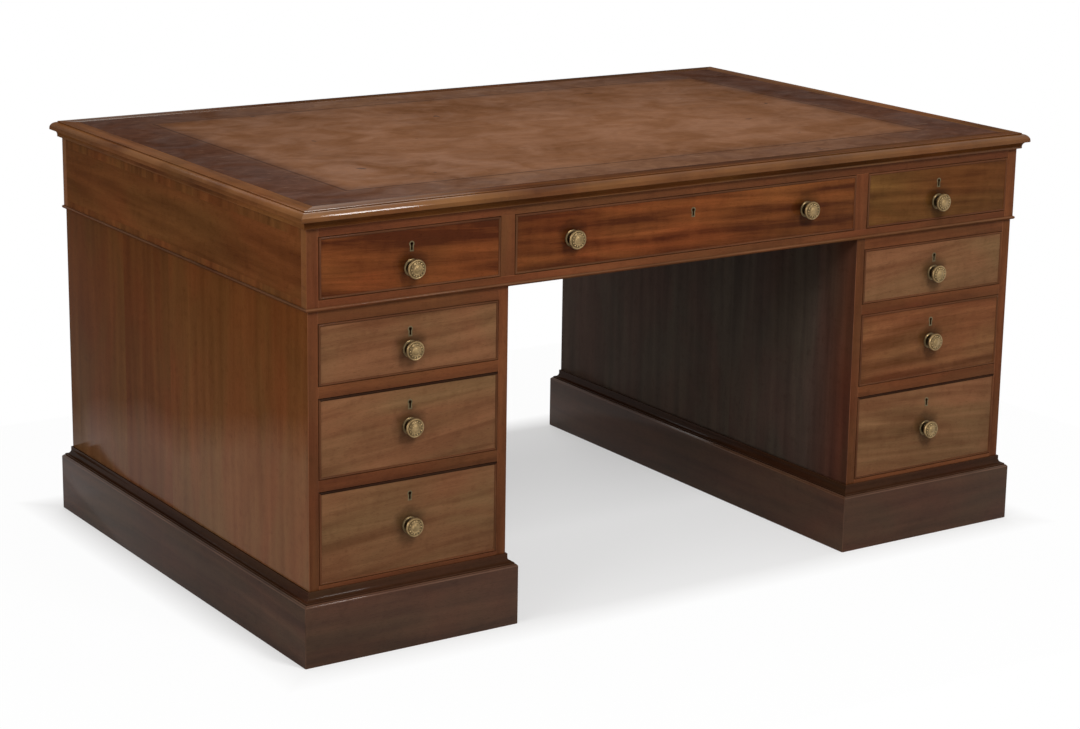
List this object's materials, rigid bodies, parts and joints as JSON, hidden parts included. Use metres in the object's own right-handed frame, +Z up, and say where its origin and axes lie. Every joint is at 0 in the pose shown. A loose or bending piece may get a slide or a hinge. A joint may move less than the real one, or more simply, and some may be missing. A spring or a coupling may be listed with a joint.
{
  "type": "partners desk",
  "caption": "A mahogany partners desk with a leather writing surface, frieze drawers to both sides, graduated drawers in one side of each pedestal and a cupboard door in the other.",
  "frame": {"origin": "on the floor, below the middle of the desk", "axes": "+X along the desk's length, -Y towards the side whose pedestals hold the drawers, +Z up"},
  "size_m": [1.584, 1.028, 0.775],
  "materials": {
    "case_wood": "satin",
    "drawer_wood": "satin",
    "plinth_wood": "satin",
    "lining_wood": "matte",
    "leather": "satin",
    "brass": "satin"
  },
  "bodies": {
    "carcase": {"top_panel": "case_wood", "writing_leather": "leather", "top_border": "case_wood", "frieze_ends": "case_wood", "frieze_rails": "case_wood", "frieze_dividers": "case_wood", "frieze_spine": "lining_wood", "frieze_runners": "lining_wood", "frieze_bead": "case_wood", "pedestal_sides": "case_wood", "pedestal_boards": "lining_wood", "pedestal_rails": "case_wood", "pedestal_runners": "lining_wood", "plinth_boards": "plinth_wood", "plinth_mouldings": "plinth_wood", "fixed_hinge_leaves": "brass"},
    "front_frieze_left_drawer": {"front_frieze_left_drawer_front": "drawer_wood", "front_frieze_left_drawer_box": "lining_wood", "front_frieze_left_drawer_brassware": "brass"},
    "front_frieze_middle_drawer": {"front_frieze_middle_drawer_front": "drawer_wood", "front_frieze_middle_drawer_box": "lining_wood", "front_frieze_middle_drawer_brassware": "brass"},
    "front_frieze_right_drawer": {"front_frieze_right_drawer_front": "drawer_wood", "front_frieze_right_drawer_box": "lining_wood", "front_frieze_right_drawer_brassware": "brass"},
    "back_frieze_left_drawer": {"back_frieze_left_drawer_front": "drawer_wood", "back_frieze_left_drawer_box": "lining_wood", "back_frieze_left_drawer_brassware": "brass"},
    "back_frieze_middle_drawer": {"back_frieze_middle_drawer_front": "drawer_wood", "back_frieze_middle_drawer_box": "lining_wood", "back_frieze_middle_drawer_brassware": "brass"},
    "back_frieze_right_drawer": {"back_frieze_right_drawer_front": "drawer_wood", "back_frieze_right_drawer_box": "lining_wood", "back_frieze_right_drawer_brassware": "brass"},
    "left_lower_drawer": {"left_lower_drawer_front": "drawer_wood", "left_lower_drawer_box": "lining_wood", "left_lower_drawer_brassware": "brass"},
    "left_middle_drawer": {"left_middle_drawer_front": "drawer_wood", "left_middle_drawer_box": "lining_wood", "left_middle_drawer_brassware": "brass"},
    "left_upper_drawer": {"left_upper_drawer_front": "drawer_wood", "left_upper_drawer_box": "lining_wood", "left_upper_drawer_brassware": "brass"},
    "right_lower_drawer": {"right_lower_drawer_front": "drawer_wood", "right_lower_drawer_box": "lining_wood", "right_lower_drawer_brassware": "brass"},
    "right_middle_drawer": {"right_middle_drawer_front": "drawer_wood", "right_middle_drawer_box": "lining_wood", "right_middle_drawer_brassware": "brass"},
    "right_upper_drawer": {"right_upper_drawer_front": "drawer_wood", "right_upper_drawer_box": "lining_wood", "right_upper_drawer_brassware": "brass"},
    "left_door": {"left_door_frame": "drawer_wood", "left_door_panel": "drawer_wood", "left_door_brassware": "brass", "left_door_hinge_leaves": "brass"},
    "right_door": {"right_door_frame": "drawer_wood", "right_door_panel": "drawer_wood", "right_door_brassware": "brass", "right_door_hinge_leaves": "brass"}
  },
  "joints": [
    {"name": "front_frieze_left_drawer_slide", "type": "slide", "parent": "carcase", "child": "front_frieze_left_drawer", "axis": [0, -1, 0], "range_m": [0, 0.38]},
    {"name": "front_frieze_middle_drawer_slide", "type": "slide", "parent": "carcase", "child": "front_frieze_middle_drawer", "axis": [0, -1, 0], "range_m": [0, 0.38]},
    {"name": "front_frieze_right_drawer_slide", "type": "slide", "parent": "carcase", "child": "front_frieze_right_drawer", "axis": [0, -1, 0], "range_m": [0, 0.38]},
    {"name": "back_frieze_left_drawer_slide", "type": "slide", "parent": "carcase", "child": "back_frieze_left_drawer", "axis": [0, 1, 0], "range_m": [0, 0.38]},
    {"name": "back_frieze_middle_drawer_slide", "type": "slide", "parent": "carcase", "child": "back_frieze_middle_drawer", "axis": [0, 1, 0], "range_m": [0, 0.38]},
    {"name": "back_frieze_right_drawer_slide", "type": "slide", "parent": "carcase", "child": "back_frieze_right_drawer", "axis": [0, 1, 0], "range_m": [0, 0.38]},
    {"name": "left_lower_drawer_slide", "type": "slide", "parent": "carcase", "child": "left_lower_drawer", "axis": [0, -1, 0], "range_m": [0, 0.435]},
    {"name": "left_middle_drawer_slide", "type": "slide", "parent": "carcase", "child": "left_middle_drawer", "axis": [0, -1, 0], "range_m": [0, 0.435]},
    {"name": "left_upper_drawer_slide", "type": "slide", "parent": "carcase", "child": "left_upper_drawer", "axis": [0, -1, 0], "range_m": [0, 0.435]},
    {"name": "right_lower_drawer_slide", "type": "slide", "parent": "carcase", "child": "right_lower_drawer", "axis": [0, -1, 0], "range_m": [0, 0.435]},
    {"name": "right_middle_drawer_slide", "type": "slide", "parent": "carcase", "child": "right_middle_drawer", "axis": [0, -1, 0], "range_m": [0, 0.435]},
    {"name": "right_upper_drawer_slide", "type": "slide", "parent": "carcase", "child": "right_upper_drawer", "axis": [0, -1, 0], "range_m": [0, 0.435]},
    {"name": "left_door_hinge", "type": "hinge", "parent": "carcase", "child": "left_door", "pos_m": [-0.7515, 0.4923, 0.3595], "axis": [0, 0, 1], "range_deg": [0, 170]},
    {"name": "right_door_hinge", "type": "hinge", "parent": "carcase", "child": "right_door", "pos_m": [0.7515, 0.4923, 0.3595], "axis": [0, 0, -1], "range_deg": [0, 170]}
  ]
}
